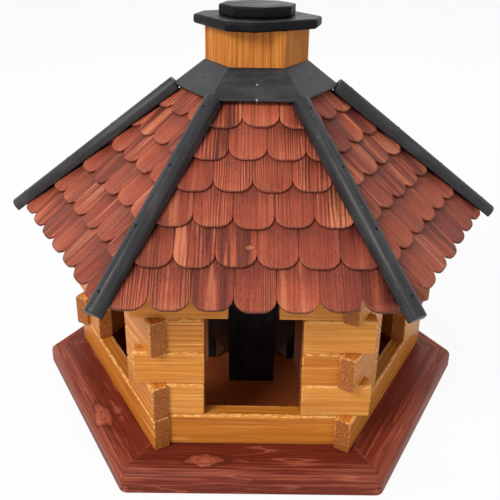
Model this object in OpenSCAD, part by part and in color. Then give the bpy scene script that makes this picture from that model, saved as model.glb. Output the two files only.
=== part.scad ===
// Hexagonal log-house bird feeder with a lift-off roof, a seed silo and a lift-off chimney cap.
// Origin at the centre of the underside, +Z up, the front wall faces -Y, plan corners at +X and -X.

/* [Base] */

// Width of the base across two opposite corners
base_across = 390; // [360:1:430]
// Thickness of the base boards
base_t = 19; // [17:0.5:24]
// Width of the base boards
board_w = 56; // [52:1:60]
// Radius of the round on the upper outer edge
edge_round = 12; // [8:0.5:13]
// Thickness of the floor panel let into the underside
floor_t = 3; // [2.5:0.1:4]
// Width of the rebate that takes the floor panel
floor_lap = 12; // [10:0.5:14]
// Length of the loose tongues in the mitres, along the mitre
tongue_len = 34; // [26:1:36]
// Width of the loose tongues across the mitre
tongue_w = 24; // [18:1:24]
// Thickness of the loose tongues
tongue_t = 4; // [3:0.5:4]

/* [Log walls] */

// Width of the ledge outside the walls
ledge_w = 31.4; // [28:0.1:36]
// Thickness of the logs
log_t = 12.5; // [11.5:0.5:14]
// Height of one course of logs
log_h = 28.4; // [27:0.1:31]
// Length by which the log ends run past the corners
log_past = 10.5; // [8:0.5:12]
// Width of the eased edges along the logs
log_ease = 1.6; // [1:0.1:2]
// Width of the doorways in courses two to four
door_w = 72; // [66:1:76]
// Width of the doorways in course five
door_top_w = 36; // [30:1:42]
// Height of the wall plates at their outer face
plate_h = 23; // [19:0.5:24]
// Diameter of the upright dowels
dowel_d = 5; // [4:0.5:5]
// Distance of the dowels from the doorways' edges
dowel_in = 20; // [17:0.5:22]

/* [Roof] */

// Pitch of the roof faces in degrees
roof_pitch = 41.4; // [40:0.1:42.5]
// Distance by which the eaves stand out past the walls
eave_past = 36.5; // [30:0.5:42]
// Thickness of the roof panels
panel_t = 6; // [5:0.5:7]
// Distance by which the shingles overhang the panels
tip_over = 15; // [12:0.5:18]
// Number of shingle rows on each face
rows = 6; // [5:1:7]
// Width of a shingle
shingle_w = 27.7; // [25:0.1:30]
// Gap between neighbouring shingles
shingle_gap = 0.5; // [0.4:0.1:0.8]
// Thickness of a shingle
shingle_t = 2; // [1.6:0.1:2.2]
// Corner radius of the shingles' lower ends
shingle_r = 10.5; // [8:0.5:12]
// Distance of the bearer plate's underside below the roof's opening
bearer_drop = 33; // [26:1:38]

/* [Ridges and collar] */

// Width of the ridge battens
batten_w = 13; // [11:0.5:15]
// Overall height of the ridge battens
batten_h = 9.5; // [9:0.5:11]
// Distance by which the battens run past the eave corners
batten_past = 9; // [5:0.5:12]
// Thickness of the collar boards
collar_t = 5.5; // [5:0.5:6]
// Width of the collar boards, measured level
collar_w = 23; // [20:0.5:26]

/* [Silo and chimney] */

// Width of the silo and chimney across two opposite corners
silo_across = 84; // [80:1:86]
// Thickness of the silo and chimney boards
silo_t = 7; // [6:0.5:7.5]
// Height of the seed outlets under the short silo boards
outlet_h = 30; // [24:1:34]
// Gap between the silo and the floor panel
silo_gap = 0.5; // [0.5:0.1:1]
// Height of the chimney above the roof panels
chimney_h = 40.4; // [36:0.1:46]

/* [Cap] */

// Distance by which the lower cap plate's long sides stand out past the chimney's corners
cap_past = 1.5; // [1:0.5:6]
// Width of the cuts across the lower cap plate's corners
cap_cut = 23; // [19:0.5:26]
// Thickness of the lower cap plate
cap_t = 7.5; // [6.5:0.5:9]
// Width of the upper cap plate across its flats
knob_w = 57.5; // [54:0.5:66]
// Thickness of the upper cap plate
knob_t = 8.5; // [6:0.5:10]
// Turn of the lower cap plate against the house in degrees
cap_turn = 30; // [0:1:60]
// Turn of the upper cap plate against the lower one in degrees
knob_turn = 2.5; // [0:0.5:45]
// Gap round the plug that keeps the cap on the chimney
plug_fit = 1.4; // [1:0.1:3]
// Depth of the plug
plug_h = 12; // [9:0.5:16]

/* [Hidden] */

// Longer than anything in the model
far = 2 * base_across;
t30 = tan(30);
c30 = cos(30);
// Gaps left by glue, round pins, in mitres and under what is laid on
glue = 0.1;
hole_fit = 0.1;
mitre_gap = 0.1;
seat_gap = 0.1;
// Extra length that lets a cut run past a face, and one that joins two shapes
over = 1;
overlap = 0.01;

// Distances written _a or _u are measured from the axis, square to a wall or roof face
base_a = base_across / 2 * c30;
ring_a = base_a - board_w;
panel_edge = 0.3;
tongue_drop = 1.5;
nail_x = 40;
nail_len = 12;

courses = 5;
wall_a = base_a - ledge_w;
wall_in = wall_a - log_t;
wall_mid = wall_a - log_t / 2;
corner_x = wall_a * t30;
wall_top = base_t + courses * log_h;
dowel_x = door_w / 2 + dowel_in;
dowel_sink = 10;
dowel_rise = 9;

silo_a = silo_across / 2 * c30;
silo_in = silo_a - silo_t;
silo_z = floor_t - seat_gap + silo_gap;

slope = tan(roof_pitch);
cp = cos(roof_pitch);
sp = sin(roof_pitch);
hip_pitch = atan(slope * c30);
roof_foot = wall_top + plate_h;
eave_u = wall_a + eave_past;
panel_u = eave_u - tip_over;
hole_a = silo_a + hole_fit;
slope_len = (eave_u - hole_a) / cp;
top_gap = 1;
expo = (slope_len - top_gap) / (rows + 0.5);
lap_len = 1.5 * expo;
lap_gap = 0.1;
// How far each row, from the eave up, lies above an even spacing
row_lift = [0, 2.1, 3.3, 3, 0.4, 0, 0];
// How far each row is pushed along the eave
row_shift = [0, 0.9, -1.5, -2.3, -6.2, -11, -4];
least_step = min([for (i = [1 : rows - 1]) row_s(i) - row_s(i - 1)]);
shingle_tilt = asin((shingle_t + lap_gap) / least_step);
tip_h = lap_len * sin(shingle_tilt) + lap_gap;
cover_h = tip_h + shingle_t + lap_gap;
shingle_pitch = shingle_w + shingle_gap;
hip_gap = 0.6;
least_piece = 4;
most_across = ceil(eave_u * t30 / shingle_pitch) + 1;
strip_w = 12;
strip_gap = 0.5;

collar_u = hole_a + collar_w;
collar_low = collar_u - collar_t * sp;
collar_h = row_under((eave_u - collar_low) / cp - row_s(rows - 1)) + shingle_t + lap_gap;
// The collar's lower edge is square only near its upper side and cut back level below
collar_edge = 2;

// Angle between a roof face and the level line across a hip
hip_tilt = asin(sp * sin(30));
batten_drop = batten_w / 2 * tan(hip_tilt);
// How far the battens reach over the collar's corners, and how much that end is raised
batten_tuck = 3;
batten_rise = 2;
batten_top_r = collar_u / c30 - batten_tuck;
batten_len = (eave_u / c30 + batten_past - batten_top_r) / cos(hip_pitch);
batten_pitch = hip_pitch + asin(batten_rise / batten_len);

pin_d = 1.5;
pin_head = 2.6;
pin_head_t = 0.6;
pin_sink = 0.2;
head_fit = 0.15;
batten_pin_len = 17;
batten_pin_spots = [0.065, 0.36, 0.64, 0.92];
collar_pin_len = 14;
collar_pin_inner = 5.5;
collar_pin_outer = 3.5;

bearer_t = 6;
bearer_z = under_z(hole_a) - bearer_drop;
bearer_gap = 0.2;
joint_z = under_z(hole_a) + panel_t / cp / 2;
chimney_top = cover_z(hole_a, 0) + chimney_h;

cap_w = silo_across + 2 * cap_past;
cap_cut_w = cap_w * sqrt(2) - cap_cut;
cap_ease = 2.2;
plug_d = 2 * (silo_in - plug_fit);
screw_x = 15;
screw_d = 3.2;
screw_head = 6.2;
screw_head_t = 2;
screw_bite = 5;
screw_fit = 0.2;

wood_honey = [0.86, 0.58, 0.27];
wood_pale = [0.80, 0.66, 0.45];
stain_red = [0.50, 0.24, 0.18];
tile_red = [0.66, 0.32, 0.25];
paint_black = [0.20, 0.20, 0.21];
steel = [0.62, 0.62, 0.64];

// Height of the panels' underside at a distance u from the axis, square to a face
function under_z(u) = roof_foot + (wall_a - u) * slope;
// Height of a plane that lies h above the panels' upper side
function cover_z(u, h) = under_z(u) + (panel_t + h) / cp;
// Distance of a shingle row's tips up the slope from the eave
function row_s(i) = i * expo + row_lift[i];
// Half the width of a roof face at a distance up the slope from the shingle tips
function face_half(s) = (eave_u - s * cp) * t30;
// True for the courses whose logs run past the right corner
function past_right(c) = c % 2 == 0;

// The space in front of one wall or roof face, between the planes through the corners
module sector(gap = mitre_gap) {
  x = far * t30 - gap / 2 / c30;
  linear_extrude(far)
    polygon([[0, -gap], [-x, -far], [x, -far]]);
}

module on_face(k) {
  rotate([0, 0, 60 * k])
    children();
}

module along_x(len) {
  translate([-len / 2, 0, 0])
    rotate([90, 0, 90])
      linear_extrude(len)
        children();
}

module on_slope(h = 0) {
  translate([0, -eave_u, cover_z(eave_u, 0)])
    rotate([roof_pitch, 0, 0])
      translate([0, 0, h])
        children();
}

module on_hip(j) {
  rotate([0, 0, 60 * j])
    translate([batten_top_r, 0, cover_z(batten_top_r * c30, cover_h) + batten_rise / cos(hip_pitch)])
      rotate([0, batten_pitch, 0])
        children();
}

module hexagon(a) {
  circle(r = a / c30, $fn = 6);
}

// A hole for a pin or nail whose head end lies at the origin
module pin_hole(len, extra = 0.5) {
  translate([0, 0, -len - extra])
    cylinder(d = pin_d + 2 * hole_fit, h = len + extra + over, $fn = 24);
}

// The seat for a pin's head, sunk into the face at the origin
module head_seat(d) {
  translate([0, 0, -pin_head_t - pin_sink - seat_gap])
    cylinder(d = d + 2 * head_fit, h = pin_head_t + pin_sink + over, $fn = 24);
}

// A pin or nail that points down from the origin, its head just under the face
module pin(len) {
  translate([0, 0, -len])
    cylinder(d = pin_d, h = len - pin_sink, $fn = 24);
  translate([0, 0, -pin_head_t - pin_sink])
    cylinder(d = pin_head, h = pin_head_t, $fn = 24);
}

// Base

module board_section() {
  r = edge_round;
  difference() {
    translate([-base_a, 0])
      square([board_w, base_t]);
    translate([-base_a - over, base_t - r])
      difference() {
        square(r + over);
        translate([r + over, 0])
          circle(r = r, $fn = 96);
      }
    translate([-ring_a - floor_lap, -over])
      square([floor_lap + over, floor_t + over]);
  }
}

module tongue(grow = 0) {
  mid = (base_across / 2 + ring_a / c30) / 2;
  translate([mid, 0, base_t / 2 - tongue_drop])
    cube([tongue_len + 2 * grow, tongue_w + 2 * grow, tongue_t + 2 * grow], center = true);
}

module tongues_at_mitres(grow = 0) {
  for (j = [0 : 5])
    rotate([0, 0, 60 * j])
      tongue(grow);
}

// The nails point up, so their places are turned over
module floor_nail_places() {
  for (k = [0 : 5], side = [-1, 1])
    on_face(k)
      translate([side * nail_x, -ring_a - floor_lap / 2, 0])
        rotate([180, 0, 0])
          children();
}

module dowel_places() {
  for (k = [0 : 5], side = [-1, 1])
    on_face(k)
      translate([side * dowel_x, -wall_mid, 0])
        children();
}

// A dowel from below the base's top to above the walls' top, or the hole that it fits
module dowel(fit = 0) {
  z0 = base_t - dowel_sink - fit;
  translate([0, 0, z0])
    cylinder(d = dowel_d + 2 * fit, h = wall_top + dowel_rise + fit - z0, $fn = 32);
}

module base_board(k) {
  color(stain_red)
    difference() {
      on_face(k)
        intersection() {
          along_x(base_across)
            board_section();
          sector();
        }
      tongues_at_mitres(hole_fit);
      dowel_places()
        dowel(hole_fit);
      floor_nail_places()
        pin_hole(nail_len);
    }
}

module base_tongues() {
  color(wood_pale)
    tongues_at_mitres();
}

module floor_panel() {
  color(stain_red)
    difference() {
      linear_extrude(floor_t - seat_gap)
        hexagon(ring_a + floor_lap - panel_edge);
      floor_nail_places() {
        pin_hole(nail_len);
        head_seat(pin_head);
      }
    }
}

module floor_nails() {
  color(steel)
    floor_nail_places()
      pin(nail_len);
}

// Log walls

module log_section(z) {
  e = log_ease;
  y0 = -wall_a;
  y1 = -wall_in;
  z0 = z + glue;
  z1 = z + log_h;
  polygon([
    [y0, z0 + e], [y0, z1 - e], [y0 + e, z1], [y1 - e, z1],
    [y1, z1 - e], [y1, z0 + e], [y1 - e, z0], [y0 + e, z0]
  ]);
}

// Where a log that stops at a corner ends, at a distance y from the axis
function butt_x(y) = (wall_in - glue - 0.5 * y) / c30;

// Plan of a log from x0, or from the left corner, to x1, or to the right corner
module log_plan(left, right, x0, x1) {
  xl0 = left == "past" ? -corner_x - log_past : left == "butt" ? -butt_x(wall_a) : x0;
  xl1 = left == "past" ? -corner_x - log_past : left == "butt" ? -butt_x(wall_in) : x0;
  xr0 = right == "past" ? corner_x + log_past : right == "butt" ? butt_x(wall_a) : x1;
  xr1 = right == "past" ? corner_x + log_past : right == "butt" ? butt_x(wall_in) : x1;
  lean_l = (xl1 - xl0) / log_t * over;
  lean_r = (xr1 - xr0) / log_t * over;
  polygon([
    [xl0 - lean_l, -wall_a - over], [xr0 - lean_r, -wall_a - over],
    [xr1 + lean_r, -wall_in + over], [xl1 + lean_l, -wall_in + over]
  ]);
}

module log(c, left, right, x0 = 0, x1 = 0) {
  z = base_t + (c - 1) * log_h;
  difference() {
    intersection() {
      along_x(far)
        log_section(z);
      translate([0, 0, z - over])
        linear_extrude(log_h + 2 * over)
          log_plan(left, right, x0, x1);
    }
    for (side = [-1, 1])
      translate([side * dowel_x, -wall_mid, 0])
        dowel(hole_fit);
  }
}

module sill(k) {
  ends = k % 2 == 1 ? "past" : "butt";
  color(wood_honey)
    on_face(k)
      log(1, ends, ends);
}

module wall_logs(k) {
  color(wood_honey)
    on_face(k)
      for (c = [2 : courses]) {
        half = (c == courses ? door_top_w : door_w) / 2;
        log(c, past_right(c) ? "butt" : "past", "door", x1 = -half);
        log(c, "door", past_right(c) ? "past" : "butt", x0 = half);
      }
}

module wall_dowels() {
  color(wood_pale)
    dowel_places()
      dowel();
}

module wall_plates() {
  z0 = wall_top + glue;
  color(wood_honey)
    difference() {
      for (k = [0 : 5])
        on_face(k)
          intersection() {
            along_x(far)
              polygon([
                [-wall_a, z0], [-wall_in, z0],
                [-wall_in, under_z(wall_in) - seat_gap / cp], [-wall_a, under_z(wall_a) - seat_gap / cp]
              ]);
            sector();
          }
      dowel_places()
        dowel(hole_fit);
    }
}

// Roof

module batten_pin_places() {
  for (j = [0 : 5], q = batten_pin_spots)
    on_hip(j)
      translate([batten_len * q, 0, batten_h - batten_drop])
        children();
}

module collar_pin_places() {
  for (k = [0 : 5], u = [hole_a + collar_pin_inner, collar_low - collar_pin_outer])
    on_face(k)
      on_slope(collar_h + collar_t)
        translate([0, (eave_u - u) / cp, 0])
          children();
}

module roof_pin_holes() {
  batten_pin_places()
    pin_hole(batten_pin_len);
  collar_pin_places()
    pin_hole(collar_pin_len);
}

module roof_panel(k) {
  color(wood_pale)
    difference() {
      on_face(k)
        intersection() {
          along_x(far)
            polygon([
              [-panel_u, under_z(panel_u)], [-hole_a, under_z(hole_a)],
              [-hole_a, cover_z(hole_a, 0)], [-panel_u, cover_z(panel_u, 0)]
            ]);
          sector();
        }
      roof_pin_holes();
    }
}

module roof_bearer() {
  a0 = hole_a + bearer_drop / slope - bearer_gap;
  a1 = a0 - bearer_t / slope;
  color(wood_pale)
    difference() {
      translate([0, 0, bearer_z])
        cylinder(r1 = a0 / c30, r2 = a1 / c30, h = bearer_t, $fn = 6);
      translate([0, 0, bearer_z - over])
        linear_extrude(bearer_t + 2 * over)
          hexagon(hole_a);
    }
}

// Underside of a tilted shingle row at a distance s above its tips
function row_under(s) = tip_h - s * tan(shingle_tilt);

module eave_strips() {
  s0 = tip_over / cp + strip_gap;
  s1 = s0 + strip_w;
  color(wood_pale)
    difference() {
      for (k = [0 : 5])
        on_face(k)
          intersection() {
            on_slope()
              along_x(far)
                polygon([
                  [s0, glue], [s1, glue],
                  [s1, row_under(s1) - glue], [s0, row_under(s0) - glue]
                ]);
            sector();
          }
      roof_pin_holes();
    }
}

module shingle_shape() {
  x = shingle_w / 2 - shingle_r;
  translate([-shingle_w / 2, shingle_r])
    square([shingle_w, lap_len - shingle_r]);
  translate([-x, 0])
    square([2 * x, shingle_r + over]);
  for (side = [-1, 1])
    translate([side * x, shingle_r])
      circle(r = shingle_r, $fn = 48);
}

module shingles(k) {
  sense = k % 2 == 0 ? 1 : -1;
  color(tile_red)
    difference() {
      on_face(k)
        intersection() {
          on_slope()
            for (i = [0 : rows - 1], j = [-most_across : most_across]) {
              x = (j + (i % 2) / 2) * shingle_pitch + sense * row_shift[i];
              reach = face_half(row_s(i)) - abs(x) + shingle_w / 2;
              if (reach > least_piece)
                translate([x, row_s(i), tip_h])
                  rotate([-shingle_tilt, 0, 0])
                    linear_extrude(shingle_t)
                      shingle_shape();
            }
          sector(hip_gap);
        }
      roof_pin_holes();
    }
}

// Ridge battens and collar

module batten_section() {
  r = batten_w / 2;
  low = -batten_drop - batten_rise;
  mid = batten_h - batten_drop - r;
  difference() {
    translate([0, mid])
      circle(r = r, $fn = 64);
    translate([-2 * r, mid - 2 * r])
      square([4 * r, 2 * r]);
  }
  translate([-r, low])
    square([2 * r, mid + overlap - low]);
}

// What lies below both planes that a section line gives on the two faces beside a ridge
module beside_ridge(j, outline) {
  rotate([0, 0, 60 * j])
    intersection_for(k = [1, 2])
      on_face(k)
        along_x(far)
          polygon(outline);
}

// The roof up to the shingles' tops, and the collar with room round it, as a batten meets them
module batten_seat(j) {
  q = eave_u + batten_past + batten_h;
  beside_ridge(j, [[0, 0], [0, cover_z(0, cover_h)], [-q, cover_z(q, cover_h)], [-q, 0]]);
  top = collar_h + collar_t + seat_gap;
  edge_u = collar_u + seat_gap * (cp + sp);
  edge_z = cover_z(edge_u, top);
  deep = collar_t + cover_h;
  beside_ridge(j, [
    [0, edge_z - deep * cp], [0, cover_z(0, top)], [-edge_u, edge_z],
    [-edge_u + deep * sp, edge_z - deep * cp]
  ]);
}

module batten(j) {
  color(paint_black)
    difference() {
      on_hip(j)
        rotate([90, 0, 90])
          linear_extrude(batten_len)
            batten_section();
      batten_seat(j);
      batten_pin_places() {
        pin_hole(batten_pin_len);
        head_seat(pin_head);
      }
    }
}

module batten_pins() {
  color(paint_black)
    batten_pin_places()
      pin(batten_pin_len);
}

module collar_boards() {
  h1 = collar_h + collar_t;
  edge_u = collar_u - collar_edge * sp;
  edge_z = cover_z(collar_u, h1) - collar_edge * cp;
  back_u = collar_low - (collar_t - collar_edge) * cp / slope;
  color(paint_black)
    difference() {
      for (k = [0 : 5])
        on_face(k)
          intersection() {
            along_x(far)
              polygon([
                [-back_u, edge_z], [-hole_a, cover_z(hole_a, collar_h)],
                [-hole_a, cover_z(hole_a, h1)], [-collar_u, cover_z(collar_u, h1)],
                [-edge_u, edge_z]
              ]);
            sector();
          }
      collar_pin_places() {
        pin_hole(collar_pin_len);
        head_seat(pin_head);
      }
    }
}

module collar_pins() {
  color(paint_black)
    collar_pin_places()
      pin(collar_pin_len);
}

// Silo and chimney

module silo_board(k, z0, z1) {
  on_face(k)
    intersection() {
      translate([-silo_across / 2, -silo_a, z0])
        cube([silo_across, silo_t, z1 - z0]);
      sector();
    }
}

module chimney_boards() {
  color(wood_honey)
    for (k = [0 : 5])
      silo_board(k, joint_z + glue, chimney_top);
}

module silo_boards_long() {
  color(paint_black)
    for (k = [0, 2, 4])
      silo_board(k, silo_z, joint_z);
}

module silo_boards_short() {
  color(paint_black)
    for (k = [1, 3, 5])
      silo_board(k, silo_z + outlet_h, joint_z);
}

// Cap

// A square, w across its sides and cut_w across its cut corners
module cut_square(w, cut_w) {
  intersection() {
    square(w, center = true);
    rotate(45)
      square(cut_w, center = true);
  }
}

// A plate of that outline with eased edges
module eased_plate(w, cut_w, t) {
  e = cap_ease;
  hull() {
    linear_extrude(t)
      cut_square(w - 2 * e, cut_w - 2 * e);
    translate([0, 0, e])
      linear_extrude(t - 2 * e)
        cut_square(w, cut_w);
  }
}

module cap_screw_places() {
  for (side = [-1, 1])
    rotate([0, 0, cap_turn])
      translate([side * screw_x, 0, chimney_top - plug_h])
        children();
}

module cap_lower_plate() {
  color(paint_black)
    difference() {
      translate([0, 0, chimney_top + seat_gap])
        rotate([0, 0, cap_turn])
          eased_plate(cap_w, cap_cut_w, cap_t);
      cap_screw_places()
        cylinder(d = screw_d + screw_fit, h = plug_h + screw_bite + over, $fn = 32);
    }
}

module cap_upper_plate() {
  color(paint_black)
    translate([0, 0, chimney_top + 2 * seat_gap + cap_t])
      rotate([0, 0, cap_turn + knob_turn])
        eased_plate(knob_w, knob_w, knob_t);
}

module cap_plug() {
  color(wood_pale)
    difference() {
      translate([0, 0, chimney_top - plug_h])
        cylinder(d = plug_d, h = plug_h, $fn = 96);
      cap_screw_places() {
        translate([0, 0, -over])
          cylinder(d = screw_d + screw_fit, h = plug_h + 2 * over, $fn = 32);
        translate([0, 0, -over])
          cylinder(d = screw_head + screw_fit, h = screw_head_t + 2 * screw_fit + over, $fn = 32);
      }
    }
}

module cap_screws() {
  color(steel)
    cap_screw_places()
      translate([0, 0, screw_fit]) {
        cylinder(d = screw_head, h = screw_head_t, $fn = 32);
        cylinder(d = screw_d, h = plug_h + screw_bite - screw_fit, $fn = 32);
      }
}

base_board(0);  // base_board_front
base_board(1);  // base_board_front_right
base_board(2);  // base_board_back_right
base_board(3);  // base_board_back
base_board(4);  // base_board_back_left
base_board(5);  // base_board_front_left
base_tongues();
floor_panel();
floor_nails();
sill(0);  // sill_front
sill(1);  // sill_front_right
sill(2);  // sill_back_right
sill(3);  // sill_back
sill(4);  // sill_back_left
sill(5);  // sill_front_left
wall_logs(0);  // logs_front
wall_logs(1);  // logs_front_right
wall_logs(2);  // logs_back_right
wall_logs(3);  // logs_back
wall_logs(4);  // logs_back_left
wall_logs(5);  // logs_front_left
wall_dowels();
wall_plates();
roof_panel(0);  // roof_panel_front
roof_panel(1);  // roof_panel_front_right
roof_panel(2);  // roof_panel_back_right
roof_panel(3);  // roof_panel_back
roof_panel(4);  // roof_panel_back_left
roof_panel(5);  // roof_panel_front_left
roof_bearer();
eave_strips();
shingles(0);  // shingles_front
shingles(1);  // shingles_front_right
shingles(2);  // shingles_back_right
shingles(3);  // shingles_back
shingles(4);  // shingles_back_left
shingles(5);  // shingles_front_left
batten(0);  // batten_right
batten(1);  // batten_back_right
batten(2);  // batten_back_left
batten(3);  // batten_left
batten(4);  // batten_front_left
batten(5);  // batten_front_right
batten_pins();
collar_boards();
collar_pins();
chimney_boards();
silo_boards_long();
silo_boards_short();
cap_lower_plate();
cap_upper_plate();
cap_plug();
cap_screws();
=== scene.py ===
"""The looks of a six-sided log-house bird feeder: stained base, honey logs, red shingles and black trim."""

import math
import random

import bmesh
import bpy
from mathutils import Matrix, Vector


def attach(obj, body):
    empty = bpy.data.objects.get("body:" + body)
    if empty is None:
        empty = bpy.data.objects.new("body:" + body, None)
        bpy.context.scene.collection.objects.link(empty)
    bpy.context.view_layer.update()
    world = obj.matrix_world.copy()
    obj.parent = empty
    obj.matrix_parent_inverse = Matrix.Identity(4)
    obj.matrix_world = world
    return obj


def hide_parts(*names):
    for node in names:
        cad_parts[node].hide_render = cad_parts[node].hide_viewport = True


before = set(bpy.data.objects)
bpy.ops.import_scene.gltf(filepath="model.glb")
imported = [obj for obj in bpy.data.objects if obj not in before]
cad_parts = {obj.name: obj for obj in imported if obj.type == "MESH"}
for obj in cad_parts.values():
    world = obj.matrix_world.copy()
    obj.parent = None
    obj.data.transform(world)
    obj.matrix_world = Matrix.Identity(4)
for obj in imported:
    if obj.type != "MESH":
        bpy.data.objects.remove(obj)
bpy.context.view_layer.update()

MM = 0.001
FACES = ["front", "front_right", "back_right", "back", "back_left", "front_left"]
CORNERS = ["right", "back_right", "back_left", "left", "front_left", "front_right"]

# Driving sizes, as in the solids
BASE_ACROSS = 390 * MM
BASE_T = 19 * MM
BOARD_W = 56 * MM
EDGE_ROUND = 12 * MM
FLOOR_T = 3 * MM
FLOOR_LAP = 12 * MM
LEDGE_W = 31.4 * MM
LOG_T = 12.5 * MM
LOG_H = 28.4 * MM
LOG_PAST = 10.5 * MM
LOG_EASE = 1.6 * MM
COURSES = 5
DOOR_W = 72 * MM
DOOR_TOP_W = 36 * MM
PLATE_H = 23 * MM
ROOF_PITCH = math.radians(41.4)
EAVE_PAST = 36.5 * MM
PANEL_T = 6 * MM
TIP_OVER = 15 * MM
ROWS = 6
TOP_GAP = 1 * MM
SHINGLE_W = 27.7 * MM
SHINGLE_GAP = 0.5 * MM
SHINGLE_T = 2 * MM
SHINGLE_R = 10.5 * MM
ROW_LIFT = [v * MM for v in (0, 2.1, 3.3, 3, 0.4, 0)]
ROW_SHIFT = [v * MM for v in (0, 0.9, -1.5, -2.3, -6.2, -11)]
BATTEN_W = 13 * MM
BATTEN_H = 9.5 * MM
BATTEN_PAST = 9 * MM
BATTEN_TUCK = 3 * MM
BATTEN_RISE = 2 * MM
COLLAR_T = 5.5 * MM
COLLAR_W = 23 * MM
COLLAR_EDGE = 2 * MM
SILO_ACROSS = 84 * MM
SILO_T = 7 * MM
OUTLET_H = 30 * MM
SILO_GAP = 0.5 * MM
CHIMNEY_H = 40.4 * MM
CAP_PAST = 1.5 * MM
CAP_CUT = 23 * MM
CAP_T = 7.5 * MM
CAP_TURN = math.radians(30)
KNOB_W = 57.5 * MM
KNOB_T = 8.5 * MM
KNOB_TURN = math.radians(2.5)
BATTEN_PIN_SPOTS = (0.065, 0.36, 0.64, 0.92)
COLLAR_PIN_INNER = 5.5 * MM
COLLAR_PIN_OUTER = 3.5 * MM
GAP = 0.1 * MM

# Sizes of the dressed pieces alone: sanded edges, rims that wear and on the logs also carry a painted
# highlight, clearances and the hand's small errors
CORNER_ROUND = 8 * MM
CORNER_LEANS_DEG = (0, -10, -20)
FLOOR_RISE = 0.25 * MM
FLOOR_SLACK = 0.3 * MM
BOARD_EASE = 0.5 * MM
FINE_EASE = 0.4 * MM
COLLAR_EASE = 0.35 * MM
FLOOR_EASE = 0.3 * MM
ROUND_EASE = 0.8 * MM
LOG_RIM = 0.9 * MM
LOG_END_RIM = 0.35 * MM
# Share of the bright rim colour, wear and a painted highlight, that the logs' lower edges keep
LOW_RIM_WEAR_AND_HIGHLIGHT_SHARE = 0.35
DOOR_SLIP_MM = 0.7
END_SLIP_MM = 0.6
SHINGLE_JOINT = 0.16 * MM
SHINGLE_R_SPREAD = (0.95, 1.12)
SHINGLE_EASE = 0.35 * MM
SHINGLE_RIM = 0.8 * MM
SHINGLE_END_RIM = 0.5 * MM
SHINGLE_HIP_GAP = 0.6 * MM
SHINGLE_LEAST_W = 4 * MM
SHINGLE_SLIP_MM = 0.4
SHINGLE_ASKEW_DEG = 0.15
SHINGLE_LIFT_DEG = 0.25
SHINGLES_BESIDE_MIDDLE = 5
BLACK_RIM = 1.2 * MM
SILO_RIM = 1.5 * MM
CAP_RIM = 1.6 * MM
CAP_EDGE = 2.2 * MM
KNOB_EDGE = 1.4 * MM
BATTEN_PIN_W = 2.2 * MM
COLLAR_PIN_W = 1.9 * MM
PIN_FLATNESS = 0.2

# Sizes that follow; names ending in _A or _U are distances from the axis, square to a face
T30 = math.tan(math.radians(30))
C30 = math.cos(math.radians(30))
BASE_A = BASE_ACROSS / 2 * C30
RING_A = BASE_A - BOARD_W
WALL_A = BASE_A - LEDGE_W
WALL_IN = WALL_A - LOG_T
CORNER_X = WALL_A * T30
WALL_TOP = BASE_T + COURSES * LOG_H
SILO_A = SILO_ACROSS / 2 * C30
SILO_Z = FLOOR_T - GAP + SILO_GAP
SLOPE = math.tan(ROOF_PITCH)
CP = math.cos(ROOF_PITCH)
SP = math.sin(ROOF_PITCH)
ROOF_FOOT = WALL_TOP + PLATE_H
EAVE_U = WALL_A + EAVE_PAST
HOLE_A = SILO_A + GAP
EXPO = ((EAVE_U - HOLE_A) / CP - TOP_GAP) / (ROWS + 0.5)
LAP_LEN = 1.5 * EXPO
ROW_S = [i * EXPO + ROW_LIFT[i] for i in range(ROWS)]
SHINGLE_TILT = math.asin((SHINGLE_T + GAP) / min(b - a for a, b in zip(ROW_S, ROW_S[1:])))
TIP_H = LAP_LEN * math.sin(SHINGLE_TILT) + GAP
COVER_H = TIP_H + SHINGLE_T + GAP
HIP_PITCH = math.atan(SLOPE * C30)
HIP_TILT = math.asin(SP * math.sin(math.radians(30)))
BATTEN_R = BATTEN_W / 2
BATTEN_DROP = BATTEN_R * math.tan(HIP_TILT)
BATTEN_MID = BATTEN_H - BATTEN_DROP - BATTEN_R
COLLAR_U = HOLE_A + COLLAR_W
COLLAR_LOW = COLLAR_U - COLLAR_T * SP
BATTEN_TOP_R = COLLAR_U / C30 - BATTEN_TUCK
BATTEN_LEN = (EAVE_U / C30 + BATTEN_PAST - BATTEN_TOP_R) / math.cos(HIP_PITCH)
BATTEN_PITCH = HIP_PITCH + math.asin(BATTEN_RISE / BATTEN_LEN)
CAP_W = SILO_ACROSS + 2 * CAP_PAST
CAP_CUT_W = CAP_W * math.sqrt(2) - CAP_CUT


def under_z(u):
    """Height of the roof panels' underside at a distance u from the axis."""
    return ROOF_FOOT + (WALL_A - u) * SLOPE


def cover_z(u, h):
    """Height of a plane that lies h above the roof panels."""
    return under_z(u) + (PANEL_T + h) / CP


def row_under(s):
    """Height above the panels of a shingle's underside at a distance s above its tip."""
    return TIP_H - s * math.tan(SHINGLE_TILT)


COLLAR_H = row_under((EAVE_U - COLLAR_LOW) / CP - ROW_S[-1]) + SHINGLE_T + GAP
COLLAR_TOP = COLLAR_H + COLLAR_T
JOINT_Z = under_z(HOLE_A) + PANEL_T / CP / 2
CHIMNEY_TOP = cover_z(HOLE_A, 0) + CHIMNEY_H


def turned(k):
    """Places what is drawn on the front face on face k."""
    return Matrix.Rotation(math.radians(60 * k), 4, "Z")


def on_slope(h=0.0):
    """The front roof face: x along the eave, y up the slope, z out of the roof."""
    return (Matrix.Translation((0, -EAVE_U, cover_z(EAVE_U, 0)))
            @ Matrix.Rotation(ROOF_PITCH, 4, "X") @ Matrix.Translation((0, 0, h)))


def on_hip(j):
    """Corner j's ridge: x down the ridge, z out of it."""
    z = cover_z(BATTEN_TOP_R * C30, COVER_H) + BATTEN_RISE / math.cos(HIP_PITCH)
    return turned(j) @ Matrix.Translation((BATTEN_TOP_R, 0, z)) @ Matrix.Rotation(BATTEN_PITCH, 4, "Y")


# Bench work: how a board is cut, eased and marked

dice = random.Random(11)


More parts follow.
